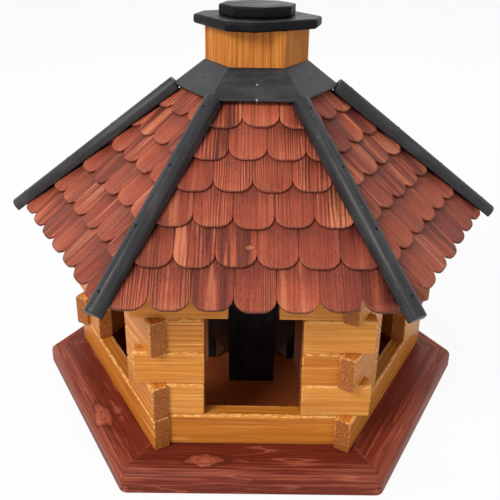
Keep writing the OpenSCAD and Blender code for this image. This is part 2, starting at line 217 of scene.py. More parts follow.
def pull_out(bm, faces, by):
    """Draws flat faces out into a solid."""
    grown = bmesh.ops.extrude_face_region(bm, geom=faces)["geom"]
    moved = [v for v in grown if isinstance(v, bmesh.types.BMVert)]
    bmesh.ops.translate(bm, verts=moved, vec=by)
    bmesh.ops.recalc_face_normals(bm, faces=bm.faces)


def moulding(section, x0, x1):
    """A bar with that (y, z) section from x0 to x1."""
    bm = bmesh.new()
    face = bm.faces.new([bm.verts.new((x0, y, z)) for y, z in section])
    pull_out(bm, [face], (x1 - x0, 0, 0))
    return bm


def plank(y0, y1, z0, z1, x0, x1):
    """A square-edged bar."""
    return moulding([(y0, z0), (y1, z0), (y1, z1), (y0, z1)], x0, x1)


def cut(bm, point, normal):
    """Saws off what lies beyond a plane and closes the cut."""
    sawn = bmesh.ops.bisect_plane(
        bm, geom=bm.verts[:] + bm.edges[:] + bm.faces[:], dist=1e-7,
        plane_co=point, plane_no=normal, clear_outer=True)
    edges = [e for e in sawn["geom_cut"] if isinstance(e, bmesh.types.BMEdge)]
    if edges:
        bmesh.ops.holes_fill(bm, edges=edges, sides=0)


def mitre(bm, gap=GAP):
    """Cuts both ends on the planes through the corners, half a gap short of them."""
    for side in (-1, 1):
        normal = Vector((side * C30, 0.5, 0))
        cut(bm, normal * (-gap / 2), normal)


def carve(bm, tool):
    """Cuts another shape's space out of a board and joins the points that the cut left double."""
    made = []
    for shape in (bm, tool):
        mesh = bpy.data.meshes.new("bench")
        shape.to_mesh(mesh)
        shape.free()
        made.append(bpy.data.objects.new("bench", mesh))
        bpy.context.scene.collection.objects.link(made[-1])
    work = made[0].modifiers.new("cut", "BOOLEAN")
    work.operation = "DIFFERENCE"
    work.solver = "EXACT"
    work.object = made[1]
    left = bmesh.new()
    left.from_object(made[0], bpy.context.evaluated_depsgraph_get())
    for each in made:
        mesh = each.data
        bpy.data.objects.remove(each)
        bpy.data.meshes.remove(mesh)
    bmesh.ops.remove_doubles(left, verts=left.verts, dist=GAP / 2)
    return left


def bevel(bm, edges, radius, segments):
    """Rounds those edges."""
    bmesh.ops.bevel(bm, geom=edges, offset=radius, offset_type="OFFSET", segments=segments, profile=0.5,
                    affect="EDGES", material=-1, clamp_overlap=True)


def ease(bm, radius, segments=2, least=math.radians(30)):
    """Sands every sharp edge."""
    sharp = [e for e in bm.edges if len(e.link_faces) == 2 and e.calc_face_angle() > least]
    bevel(bm, sharp, radius, segments)


# A face is an end if its normal runs so far along the grain; it gets a rim if it is so many rims across
END_FACING = 0.6
RIM_ROOM = 2.5


def mark(bm, along="XYZ", rim_w=2 * MM, end_rim_w=0.9 * MM):
    """Writes each point's place in the grain, its share of the length, rims, ends and the board's tone.

    along names the axes that run with the grain, across it and out of the board."""
    axes = ["XYZ".index(letter) for letter in along]
    grain = bm.verts.layers.float_vector.new("grain")
    toned = bm.verts.layers.float_vector.new("tone")
    rim = bm.verts.layers.float.new("rim")
    ends = bm.verts.layers.float.new("ends")
    run = bm.verts.layers.float.new("run")

    def at_end(face):
        return abs(face.normal[axes[0]]) > END_FACING

    inner = set()
    for is_end, width in ((False, rim_w), (True, min(rim_w, end_rim_w))):
        wide = [f for f in bm.faces if at_end(f) == is_end and not inner.issuperset(f.verts)
                and 2 * f.calc_area() > RIM_ROOM * width * f.calc_perimeter()]
        bmesh.ops.inset_individual(bm, faces=wide, thickness=width, use_even_offset=True)
        inner.update(v for f in wide for v in f.verts)
    centre = sum((v.co for v in bm.verts), Vector()) / len(bm.verts)
    drift = Vector((dice.uniform(0, 9), dice.uniform(-34, 34) * MM,
                    dice.choice((-1, 1)) * dice.uniform(9, 40) * MM))
    tone = Vector((dice.random(), dice.random(), dice.random()))
    reach = [v.co[axes[0]] for v in bm.verts]
    start, length = min(reach), max(reach) - min(reach)
    for v in bm.verts:
        off = v.co - centre
        v[grain] = Vector([off[axis] for axis in axes]) + drift
        v[toned] = tone
        v[rim] = 0.0 if v in inner else 1.0
        v[ends] = 0.0
        v[run] = (v.co[axes[0]] - start) / length
    for f in bm.faces:
        if at_end(f):
            for v in f.verts:
                v[ends] = 1.0
    return bm


def place(bm, matrix):
    """Moves a board to its place on the feeder."""
    bmesh.ops.transform(bm, matrix=matrix, verts=bm.verts)
    return bm


def piece(name, boards, body, material, stands_for=()):
    """Joins finished boards into one named piece that stands for its solids, if any."""
    whole = bmesh.new()
    for bm in boards:
        part = bpy.data.meshes.new("part")
        bm.to_mesh(part)
        bm.free()
        whole.from_mesh(part)
        bpy.data.meshes.remove(part)
    mesh = bpy.data.meshes.new(name)
    whole.to_mesh(mesh)
    whole.free()
    mesh.shade_smooth()
    mesh.materials.append(material)
    made = bpy.data.objects.new(name, mesh)
    bpy.context.scene.collection.objects.link(made)
    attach(made, body)
    if stands_for:
        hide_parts(*stands_for)
    return made


# Finishes: node helpers

FLOAT = "NodeSocketFloat"
VECTOR = "NodeSocketVector"


def srgb(r, g, b):
    """A colour picked on a 0 to 255 scale, as the shader wants it."""
    def linear(v):
        v /= 255
        return v / 12.92 if v <= 0.04045 else ((v + 0.055) / 1.055) ** 2.4
    return (linear(r), linear(g), linear(b), 1.0)


def feed(tree, sockets, inputs):
    """Sets each input to its value, or links it."""
    for key, value in inputs.items():
        if isinstance(value, bpy.types.NodeSocket):
            tree.links.new(value, sockets[key])
        else:
            sockets[key].default_value = value


def node(tree, kind, inputs=None, **settings):
    """A node with its settings made, and its inputs set or linked."""
    made = tree.nodes.new(kind)
    for key, value in settings.items():
        setattr(made, key, value)
    feed(tree, made.inputs, inputs or {})
    return made


def maths(tree, operation, a, b=0.0):
    return node(tree, "ShaderNodeMath", {0: a, 1: b}, operation=operation).outputs[0]


def times(tree, a, b):
    return maths(tree, "MULTIPLY", a, b)


def hypot(tree, a, b):
    """The distance that a one way and b square to it come to."""
    return maths(tree, "SQRT", maths(tree, "ADD", maths(tree, "POWER", a, 2.0), maths(tree, "POWER", b, 2.0)))


def ramp(tree, value, low, high, out_low=0.0, out_high=1.0):
    """A smooth step of value between low and high."""
    made = node(tree, "ShaderNodeMapRange", {"Value": value, "From Min": low, "From Max": high,
                                             "To Min": out_low, "To Max": out_high},
                interpolation_type="SMOOTHSTEP")
    return made.outputs["Result"]


def vector_maths(tree, operation, a, b):
    second = "Scale" if operation == "SCALE" else 1
    return node(tree, "ShaderNodeVectorMath", {0: a, second: b}, operation=operation).outputs[0]


def split_up(tree, vector):
    return node(tree, "ShaderNodeSeparateXYZ", {0: vector}).outputs


def swayed(tree, at, uneven, reach):
    """Moves a place to and fro by a noise colour, half of reach each way at most."""
    centred = vector_maths(tree, "SUBTRACT", uneven, (0.5, 0.5, 0.5))
    return vector_maths(tree, "ADD", at, vector_maths(tree, "SCALE", centred, reach))


def mixed(tree, amount, a, b):
    """Colour b laid over colour a by amount."""
    return node(tree, "ShaderNodeMix", {0: amount, 6: a, 7: b}, data_type="RGBA").outputs[2]


def layered(tree, colour, coats):
    """Lays each coat over the colour by its own amount."""
    for amount, coat in coats:
        colour = mixed(tree, amount, colour, coat)
    return colour


def stretched(tree, vector, scale):
    return node(tree, "ShaderNodeMapping", {"Vector": vector, "Scale": scale}).outputs["Vector"]


def noise(tree, at, scale, detail=2, roughness=0.5, output="Fac"):
    """Noise with its own scale on each axis; a low one along the grain draws it out into streaks."""
    made = node(tree, "ShaderNodeTexNoise", {"Vector": stretched(tree, at, scale), "Scale": 1.0,
                                             "Detail": detail, "Roughness": roughness})
    return made.outputs[output]


def attribute(tree, name, output="Fac"):
    return node(tree, "ShaderNodeAttribute", attribute_name=name).outputs[output]


def object_place(tree):
    return node(tree, "ShaderNodeTexCoord").outputs["Object"]


def use(tree, wanted, inputs):
    """Places a shader group and returns its outputs."""
    return node(tree, "ShaderNodeGroup", inputs, node_tree=wanted).outputs


# Finishes: effects that several materials share

def group(name, inputs, outputs):
    """A shader group with named inputs and outputs; returns it with its two end nodes."""
    tree = bpy.data.node_groups.new(name, "ShaderNodeTree")
    for label, kind, value in inputs:
        socket = tree.interface.new_socket(label, in_out="INPUT", socket_type=kind)
        if value is not None:
            socket.default_value = value
    for label in outputs:
        tree.interface.new_socket(label, in_out="OUTPUT", socket_type=FLOAT)
    return tree, tree.nodes.new("NodeGroupInput"), tree.nodes.new("NodeGroupOutput")


def make_figure():
    """Year rings, fibres and slow drifts of colour in sawn timber; the heart runs along x."""
    tree, inp, out = group(
        "timber figure",
        [("Grain", VECTOR, None), ("Ring Width", FLOAT, 3 * MM), ("Wander", FLOAT, 5 * MM),
         ("Bulge", FLOAT, 0.0)],
        ["Rings", "Fibre", "Broad", "Lines", "Relief"])
    grain, ring_width, wander, bulge = inp.outputs[:4]
    bent = swayed(tree, grain, noise(tree, grain, (5, 26, 26), output="Color"), wander)
    parts = split_up(tree, bent)
    radius = maths(tree, "ADD", hypot(tree, parts["Y"], parts["Z"]), bulge)
    year = maths(tree, "FRACT", maths(tree, "DIVIDE", radius, ring_width))
    late = times(tree, ramp(tree, year, 0.2, 0.85), ramp(tree, year, 0.9, 1.0, 1.0, 0.0))
    rings = times(tree, late, ramp(tree, noise(tree, grain, (9, 60, 60), detail=1), 0.3, 0.7, 0.45, 1.0))
    fibre = noise(tree, grain, (14, 950, 950), detail=3, roughness=0.6)
    broad = ramp(tree, noise(tree, grain, (6, 60, 60)), 0.3, 0.7)
    slow = maths(tree, "ADD", noise(tree, bent, (2.6, 52, 52)), times(tree, bulge, 14.0))
    step = maths(tree, "FRACT", times(tree, slow, 9.0))
    crest = ramp(tree, maths(tree, "ABSOLUTE", maths(tree, "SUBTRACT", step, 0.5)), 0.0, 0.13, 1.0, 0.0)
    lines = times(tree, crest, ramp(tree, noise(tree, grain, (14, 100, 100)), 0.46, 0.62))
    relief = maths(tree, "ADD", times(tree, rings, 0.4), times(tree, fibre, 0.6))
    relief = maths(tree, "ADD", relief, times(tree, lines, 0.5))
    feed(tree, out.inputs, {"Rings": rings, "Fibre": fibre, "Broad": broad, "Lines": lines, "Relief": relief})
    return tree


def make_rim_wear_and_highlight():
    """Where handling rubs the finish off a rim, in broken patches; on the honey logs the same bright rims are
    also a painted highlight.
    """
    tree, inp, out = group(
        "rim wear and highlight", [("Rim", FLOAT, 0.0), ("Grain", VECTOR, None), ("Amount", FLOAT, 0.5)], ["Mask"])
    rim, grain, amount = inp.outputs[:3]
    broken = ramp(tree, noise(tree, grain, (210, 600, 600), detail=3, roughness=0.65), 0.42, 0.58)
    near = maths(tree, "POWER", rim, 1.6)
    feed(tree, out.inputs, {"Mask": times(tree, times(tree, near, broken), amount)})
    return tree


def make_knot():
    """A knot: its pointed heart, its dark outline and how far it pushes the year rings aside."""
    tree, inp, out = group(
        "knot",
        [("Place", VECTOR, None), ("Centre", VECTOR, None), ("Size", FLOAT, 8 * MM), ("Turn", FLOAT, 0.0)],
        ["Heart", "Outline", "Bulge"])
    spot, centre, size, turn = inp.outputs[:4]
    uneven = noise(tree, spot, (95, 95, 95), detail=3, output="Color")
    bent = swayed(tree, vector_maths(tree, "SUBTRACT", spot, centre), uneven, times(tree, size, 0.9))
    level = node(tree, "ShaderNodeVectorRotate", {"Vector": bent, "Angle": turn}, rotation_type="Z_AXIS")
    parts = split_up(tree, level.outputs[0])
    along = maths(tree, "DIVIDE", maths(tree, "ABSOLUTE", parts["X"]), size)
    across = maths(tree, "DIVIDE", maths(tree, "ABSOLUTE", parts["Y"]), size)
    eye = maths(tree, "ADD", maths(tree, "POWER", times(tree, along, 0.52), 1.1),
                maths(tree, "POWER", times(tree, across, 1.25), 1.6))
    swirl = ramp(tree, maths(tree, "SINE", times(tree, eye, 17.0)), -1.0, 1.0, 0.45, 1.0)
    heart = times(tree, ramp(tree, eye, 0.6, 1.0, 1.0, 0.0), swirl)
    outline = times(tree, ramp(tree, eye, 0.7, 0.98), ramp(tree, eye, 1.0, 1.5, 1.0, 0.0))
    wide = hypot(tree, times(tree, along, 0.42), across)
    bulge = times(tree, ramp(tree, wide, 0.0, 3.4, 1.0, 0.0), times(tree, size, 1.5))
    feed(tree, out.inputs, {"Heart": heart, "Outline": outline, "Bulge": bulge})
    return tree


FIGURE = make_figure()
RIM_WEAR_AND_HIGHLIGHT = make_rim_wear_and_highlight()
KNOT = make_knot()


# Finishes: materials

def new_material(name):
    material = bpy.data.materials.new(name)
    material.use_nodes = True
    tree = material.node_tree
    return material, tree, tree.nodes["Principled BSDF"]


def surface(tree, shader, colour, rough, gloss, height, relief, depth=1 * MM):
    """Gives the shader its colour, roughness and bump, and sets its gloss."""
    bump = node(tree, "ShaderNodeBump", {"Height": height, "Strength": relief, "Distance": depth})
    feed(tree, shader.inputs, {"Base Color": colour, "Roughness": rough, "Normal": bump.outputs["Normal"],
                               "Specular IOR Level": gloss})


def chances(tree):
    """Three values that each board has of its own."""
    return split_up(tree, attribute(tree, "tone", "Vector"))


def knots_at(tree, where, knots):
    """The outputs of each knot's group."""
    return [use(tree, KNOT, {"Place": where, "Centre": (x * MM, y * MM, z * MM), "Size": size * MM,
                             "Turn": -k * math.pi / 3}) for x, y, z, size, k in knots]


# How far the heart of the tree lies from the pieces that have no marks of their own
HEART_AWAY = (0, 50 * MM, 30 * MM)


def timber(name, body, other, deep, bright, end, ring_width=3 * MM, wander=5 * MM, streak=0.5, fleck=0.3,
           lines=0.2, wear=0.5, wear_run=1.0, rough=0.5, gloss=0.4, coat=0.0, relief=0.12, knots=(),
           own_marks=True):
    """Stained or clear-coated timber.

    body and other are the two tones that boards vary between, deep the late wood, bright the rubbed rims
    (on the honey logs also a painted highlight) and end the sawn ends. Pieces without their own marks take
    their grain from the object's place."""
    material, tree, shader = new_material(name)
    where = object_place(tree)
    if own_marks:
        grain = attribute(tree, "grain", "Vector")
        tone, vivid = chances(tree)[:2]
        contrast = ramp(tree, vivid, 0.0, 1.0, 0.35 * streak, streak)
    else:
        shifted = node(tree, "ShaderNodeMapping", {"Vector": where, "Location": HEART_AWAY})
        grain = shifted.outputs["Vector"]
        tone, contrast = 0.5, streak
    hearts = knots_at(tree, where, knots)
    bulge = 0.0
    for knot in hearts:
        bulge = maths(tree, "ADD", knot["Bulge"], bulge)
    figure = use(tree, FIGURE, {"Grain": grain, "Ring Width": ring_width, "Wander": wander, "Bulge": bulge})
    fibre = figure["Fibre"]
    colour = layered(tree, body, [
        (tone, other),
        (times(tree, figure["Broad"], 0.6), other),
        (times(tree, figure["Rings"], contrast), deep),
        (ramp(tree, fibre, 0.62, 0.36, 0.0, fleck), deep),
        (ramp(tree, fibre, 0.55, 0.75, 0.0, fleck * 0.8), bright),
        (times(tree, figure["Lines"], lines), bright)])
    if own_marks:
        pores = noise(tree, where, (1300, 1300, 1300), roughness=0.6)
        sawn = layered(tree, end, [(ramp(tree, pores, 0.52, 0.68, 0.0, 0.42), bright),
                                   (ramp(tree, pores, 0.46, 0.34, 0.0, 0.5), deep)])
        run = stretched(tree, grain, (1 / wear_run, 1, 1))
        worn_and_lit = use(tree, RIM_WEAR_AND_HIGHLIGHT, {"Rim": attribute(tree, "rim"), "Grain": run, "Amount": wear})["Mask"]
        colour = layered(tree, colour, [(times(tree, attribute(tree, "ends"), 0.92), sawn), (worn_and_lit, bright)])
    for knot in hearts:
        flame = times(tree, knot["Heart"], ramp(tree, fibre, 0.3, 0.6, 0.25, 0.6))
        colour = layered(tree, colour, [(flame, bright), (times(tree, knot["Outline"], 0.45), deep)])
    surface(tree, shader, colour, ramp(tree, fibre, 0.3, 0.7, rough + 0.08, rough - 0.08), gloss,
            figure["Relief"], relief)
    feed(tree, shader.inputs, {"Coat Weight": coat, "Coat Roughness": 0.25})
    return material


def shingle_stain(name, body, dark, pale, soot_and_shade, edge, knots=()):
    """Split shingles, each stained its own way: plain, finely grooved, banded with light wood or sooty."""
    material, tree, shader = new_material(name)
    grain = attribute(tree, "grain", "Vector")
    shade, rib, band = chances(tree)
    figure = use(tree, FIGURE, {"Grain": grain, "Ring Width": 2.6 * MM, "Wander": 4 * MM, "Bulge": 0.0})
    drift = noise(tree, grain, (7, 75, 20))
    faint = noise(tree, grain, (14, 160, 20))
    bands = noise(tree, grain, (6, 105, 20))
    cloud = noise(tree, grain, (22, 60, 40), detail=3)
    grit = noise(tree, grain, (420, 900, 600), detail=3, roughness=0.65)
    pitch = ramp(tree, band, 0.0, 1.0, 1.7 * MM, 3.1 * MM)
    across = maths(tree, "DIVIDE", split_up(tree, grain)["Y"], pitch)
    count = maths(tree, "ADD", across, times(tree, drift, 4.5))
    year = maths(tree, "ABSOLUTE", maths(tree, "SUBTRACT", maths(tree, "FRACT", count), 0.5))
    groove = times(tree, ramp(tree, year, 0.24, 0.46), ramp(tree, faint, 0.36, 0.6, 0.25, 1.0))
    crest = times(tree, ramp(tree, year, 0.2, 0.02), ramp(tree, faint, 0.42, 0.62))
    ribbed = ramp(tree, rib, 0.3, 0.75, 0.12, 1.0)
    banded = ramp(tree, band, 0.3, 0.85, 0.15, 1.0)
    sooty = ramp(tree, shade, 0.66, 0.96)
    run = maths(tree, "ADD", attribute(tree, "run"), times(tree, maths(tree, "SUBTRACT", cloud, 0.5), 0.5))
    worn_and_lit = use(tree, RIM_WEAR_AND_HIGHLIGHT, {"Rim": attribute(tree, "rim"), "Grain": grain, "Amount": 0.12})["Mask"]
    colour = layered(tree, body, [
        # Painted highlight: lighter toward the tips, where the shingles catch the light
        (ramp(tree, run, 0.3, 0.02, 0.0, 0.3), pale),
        (ramp(tree, shade, 0.05, 0.8, 0.0, 0.75), dark),
        # Painted shade: darker toward the upper end of the exposed part, under the next row's edge
        (ramp(tree, run, 0.34, 0.72, 0.0, 0.6), soot_and_shade),
        (ramp(tree, cloud, 0.38, 0.68, 0.0, 0.4), dark),
        (times(tree, ramp(tree, bands, 0.55, 0.63), times(tree, banded, 0.72)), pale),
        (times(tree, ramp(tree, bands, 0.46, 0.37), times(tree, banded, 0.85)), soot_and_shade),
        (times(tree, crest, times(tree, ribbed, 0.55)), pale),
        (times(tree, groove, times(tree, ribbed, 0.85)), soot_and_shade),
        (ramp(tree, figure["Fibre"], 0.6, 0.38, 0.0, 0.32), soot_and_shade),
        (ramp(tree, figure["Fibre"], 0.57, 0.75, 0.0, 0.3), pale),
        (times(tree, sooty, ramp(tree, drift, 0.6, 0.4, 0.1, 0.6)), soot_and_shade),
        (times(tree, ramp(tree, grit, 0.5, 0.66), ramp(tree, cloud, 0.35, 0.65, 0.12, 0.5)), soot_and_shade),
        (ramp(tree, grit, 0.44, 0.28, 0.0, 0.13), pale),
        # The end faces go dark: darker end grain, and painted shade on the shingles' thickness
        (times(tree, attribute(tree, "ends"), 0.75), edge),
        (worn_and_lit, pale)])
    for knot in knots_at(tree, object_place(tree), knots):
        colour = layered(tree, colour, [(times(tree, knot["Heart"], 0.5), pale),
                                        (times(tree, knot["Outline"], 0.6), soot_and_shade)])
    height = maths(tree, "SUBTRACT", figure["Relief"], times(tree, times(tree, groove, ribbed), 0.8))
    surface(tree, shader, colour, ramp(tree, cloud, 0.3, 0.7, 0.6, 0.46), 0.19, height, 0.5)
    return material


def painted(name, body, other, bare, rough=0.42, wear=0.12, chip=0.0, nick=0.0, gloss=0.27, inside=None):
    """Black paint brushed over timber: faint grain, dusty patches, rubbed rims, chipped ends, nicked edges.

    Where an inside colour is given, the faces toward the axis are left bare in it."""
    material, tree, shader = new_material(name)
    grain = attribute(tree, "grain", "Vector")
    rim = attribute(tree, "rim")
    figure = use(tree, FIGURE, {"Grain": grain, "Ring Width": 4 * MM, "Wander": 4 * MM, "Bulge": 0.0})
    dust = noise(tree, grain, (30, 90, 90), detail=4, roughness=0.6)
    brush = noise(tree, grain, (25, 700, 700))
    specks = noise(tree, grain, (330, 330, 330), roughness=0.7)
    worn_and_lit = use(tree, RIM_WEAR_AND_HIGHLIGHT, {"Rim": rim, "Grain": grain, "Amount": wear})["Mask"]
    colour = layered(tree, body, [
        (ramp(tree, dust, 0.42, 0.7), other),
        (ramp(tree, brush, 0.5, 0.8, 0.0, 0.35), other),
        (worn_and_lit, other)])
    for amount, least, where in ((chip, 0.56, attribute(tree, "ends")), (nick, 0.7, 1.0)):
        if amount:
            chipped = times(tree, ramp(tree, specks, least, least + 0.04), times(tree, rim, where))
            colour = mixed(tree, times(tree, chipped, amount), colour, bare)
    if inside:
        grey = mixed(tree, ramp(tree, figure["Fibre"], 0.35, 0.65), body, inside)
        colour = mixed(tree, attribute(tree, "inside"), colour, mixed(tree, 0.75, grey, inside))
    height = maths(tree, "ADD", figure["Relief"], times(tree, brush, 0.6))
    surface(tree, shader, colour, ramp(tree, dust, 0.3, 0.7, rough - 0.07, rough + 0.12), gloss, height, 0.25,
            0.4 * MM)
    return material


def metal(name, colour, dull, rough):
    """Small fixings: tarnished steel."""
    material, tree, shader = new_material(name)
    spots = noise(tree, object_place(tree), (900, 900, 900), detail=3)
    feed(tree, shader.inputs, {"Base Color": mixed(tree, ramp(tree, spots, 0.4, 0.65), colour, dull),
                               "Roughness": ramp(tree, spots, 0.35, 0.7, rough, rough + 0.25),
                               "Metallic": 0.85})
    return material


# Knots by x, y, z and size in millimetres, and the face that their board lies on
BASE_KNOTS = [(-122.9, -104.9, 19, 9, 5), (-35.5, -154.4, 19, 9, 0), (112, 108, 19, 8, 2),
              (20, 146, 19, 7, 3), (-146, 62, 19, 6, 4)]
SHINGLE_KNOTS = [(-4, -143, 192.5, 2.2, 0)]
# The honey timber's bright rim colour: wear, and on the logs' upper edges also a painted highlight
HONEY_RIM_WEAR_AND_HIGHLIGHT = srgb(250, 200, 120)
HONEY_END = srgb(146, 76, 34)
VARNISHED = {"ring_width": 4.2 * MM, "wander": 10 * MM, "fleck": 0.32, "wear": 0.6, "rough": 0.42,
             "gloss": 0.14, "coat": 0.04, "relief": 0.15}
SOFTWOOD = [srgb(206, 170, 118), srgb(218, 186, 136), srgb(170, 126, 78), srgb(232, 206, 160),
            srgb(170, 128, 84)]

STAIN = timber("mahogany stain", srgb(136, 56, 36), srgb(112, 42, 27), srgb(68, 22, 15), srgb(206, 116, 88),
               srgb(78, 30, 22), ring_width=5 * MM, wander=6 * MM, streak=0.4, fleck=0.34, lines=0.42,
               wear=0.3, wear_run=18, rough=0.46, gloss=0.12, relief=0.4, knots=BASE_KNOTS)
FLOOR_STAIN = timber("floor stain", srgb(172, 84, 26), srgb(148, 68, 22), srgb(84, 38, 16),
                     srgb(190, 106, 46), srgb(84, 40, 28), ring_width=5 * MM, wander=10 * MM, streak=0.5,
                     wear=0.1, rough=0.55)
HONEY = timber("honey varnish", srgb(206, 124, 42), srgb(222, 150, 68), srgb(152, 76, 22), HONEY_RIM_WEAR_AND_HIGHLIGHT,
               HONEY_END, streak=0.66, lines=0.34, **VARNISHED)
SILL_HONEY = timber("deep honey varnish", srgb(196, 108, 28), srgb(212, 132, 48), srgb(146, 70, 16),
                    HONEY_RIM_WEAR_AND_HIGHLIGHT, HONEY_END, streak=0.6, lines=0.3, **VARNISHED)
CHIMNEY = timber("chimney varnish", srgb(198, 112, 42), srgb(212, 136, 62), srgb(130, 60, 20),
                 srgb(242, 182, 102), srgb(132, 68, 32), ring_width=3.6 * MM, wander=7 * MM, streak=0.62,
                 fleck=0.46, lines=0.26, wear=0.32, rough=0.55, gloss=0.06, relief=0.15)
# Besides stain, the fourth colour paints shade under each next row, the fifth darkens the ends as end grain
# and painted shade, and the light third colour paints a highlight toward the tips
TILE = shingle_stain("shingle stain", srgb(186, 88, 61), srgb(156, 70, 51), srgb(230, 140, 100),
                     srgb(86, 37, 31), srgb(62, 26, 22), SHINGLE_KNOTS)
PALE = timber("bare softwood", *SOFTWOOD, wear=0.2, rough=0.6)
PALE_SOLID = timber("bare softwood inside", *SOFTWOOD, rough=0.6, own_marks=False)
BLACK = painted("black paint", srgb(38, 38, 41), srgb(62, 60, 62), srgb(150, 138, 122), nick=0.35)
CAP_BLACK = painted("cap paint", srgb(12, 12, 16), srgb(24, 24, 29), srgb(150, 130, 110), rough=0.5,
                    nick=0.4, gloss=0.1)
SILO_BLACK = painted("silo paint", srgb(22, 20, 22), srgb(38, 36, 38), srgb(196, 180, 158), chip=0.9,
                     wear=0.08, inside=srgb(196, 172, 146))
PIN_BLACK = metal("painted pin heads", srgb(22, 22, 24), srgb(12, 12, 13), 0.5)
PIN_STEEL = metal("steel pin heads", srgb(170, 170, 170), srgb(92, 90, 88), 0.4)
STEEL = metal("plated steel", srgb(178, 178, 182), srgb(130, 128, 126), 0.3)


# The base

def base_board(k):
    """One side of the base, with a big round on its upper outer edge and a rebate for the floor."""
    low_lap = -RING_A - FLOOR_LAP
    bm = moulding([(-BASE_A, 0), (low_lap, 0), (low_lap, FLOOR_T), (-RING_A, FLOOR_T),
                   (-RING_A, BASE_T), (-BASE_A, BASE_T)], -BASE_ACROSS / 2, BASE_ACROSS / 2)
    outer_top = [e for e in bm.edges
                 if all(v.co.y < -BASE_A + GAP and v.co.z > BASE_T - GAP for v in e.verts)]
    bevel(bm, outer_top, EDGE_ROUND, 12)
    mitre(bm)
    for side in (-1, 1):
        corner = Matrix.Rotation(math.radians(-90 + 30 * side), 3, "Z") @ Vector((1, 0, 0))
        centre = corner * (BASE_ACROSS / 2 - CORNER_ROUND / C30)
        for lean in CORNER_LEANS_DEG:
            normal = Matrix.Rotation(math.radians(lean * side), 3, "Z") @ corner
            cut(bm, centre + normal * CORNER_ROUND, normal)
    ease(bm, BOARD_EASE)
    return place(mark(bm), turned(k))


def floor_panel():
    """The thin floor, let in from below, with its underside just clear of the nails' heads."""
    bm = bmesh.new()
    bmesh.ops.create_circle(bm, cap_ends=True, segments=6, radius=(RING_A + FLOOR_LAP - FLOOR_SLACK) / C30,
                            matrix=Matrix.Translation((0, 0, FLOOR_RISE)))
    pull_out(bm, bm.faces[:], (0, 0, FLOOR_T - GAP - FLOOR_RISE))
    ease(bm, FLOOR_EASE, 1)
    return mark(place(bm, Matrix.Rotation(math.radians(30), 4, "Z")))


# The log walls

def slip(most_mm):
    """How much short of its length a log is sawn."""
    return dice.uniform(0, most_mm) * MM


def log(c, left, right, x0=0.0, x1=0.0):
    """One log of course c on the front wall.

    Its ends run past the corner, butt there, or stop at a door, whose side is at x0 or x1."""
    z = BASE_T + (c - 1) * LOG_H
    far = CORNER_X + LOG_PAST
    start = x0 + slip(DOOR_SLIP_MM) if left == "door" else -far + slip(END_SLIP_MM)
    stop = x1 - slip(DOOR_SLIP_MM) if right == "door" else far - slip(END_SLIP_MM)
    bm = plank(-WALL_A, -WALL_IN, z + GAP, z + LOG_H, start, stop)
    for side, end in ((-1, left), (1, right)):
        if end == "butt":
            normal = Vector((side * C30, -0.5, 0))
            cut(bm, normal * (WALL_IN - GAP), normal)
    lengthwise = [e for e in bm.edges if abs((e.verts[0].co - e.verts[1].co).normalized().x) > 0.99]
    bevel(bm, lengthwise, LOG_EASE, 3)
    ease(bm, ROUND_EASE, 2, math.radians(50))
    mark(bm, "XZY", LOG_RIM, LOG_END_RIM)
    # The lower rims keep only a share of the bright rim colour, which besides wear paints a highlight on the
    # upper edges, where light falls
    rim = bm.verts.layers.float["rim"]
    for v in bm.verts:
        if v.co.z < z + 2 * LOG_EASE:
            v[rim] *= LOW_RIM_WEAR_AND_HIGHLIGHT_SHARE
    return bm


def sill(k):
    """The lowest course: every other sill runs past both its corners and holds its neighbours."""
    ends = "past" if k % 2 else "butt"
    return place(log(1, ends, ends), turned(k))


def wall_logs(k):
    """The short logs left and right of the doorway, which cross at the corners by turns."""
    boards = []
    for c in range(2, COURSES + 1):
        half = (DOOR_TOP_W if c == COURSES else DOOR_W) / 2
        past_right = c % 2 == 0
        boards.append(log(c, "butt" if past_right else "past", "door", x1=-half))
        boards.append(log(c, "door", "past" if past_right else "butt", x0=half))
    return [place(bm, turned(k)) for bm in boards]


def wall_plate(k):
    """The bevelled plate on the top course that carries the roof."""
    z = WALL_TOP + GAP
    bm = moulding([(-WALL_A, z), (-WALL_IN, z), (-WALL_IN, under_z(WALL_IN) - GAP / CP),
                   (-WALL_A, under_z(WALL_A) - GAP / CP)], -CORNER_X, CORNER_X)
    mitre(bm)
    ease(bm, BOARD_EASE)
    return place(mark(bm, "XZY"), turned(k))


# The roof

def roof_panel(k):
    """A thin panel that the shingles lie on; it ends short of the lowest row's tips."""
    low = EAVE_U - TIP_OVER
    bm = moulding([(-low, under_z(low)), (-HOLE_A, under_z(HOLE_A)), (-HOLE_A, cover_z(HOLE_A, 0)),
                   (-low, cover_z(low, 0))], -low, low)
    mitre(bm)
    ease(bm, FINE_EASE, 1)
    return place(mark(bm), turned(k))


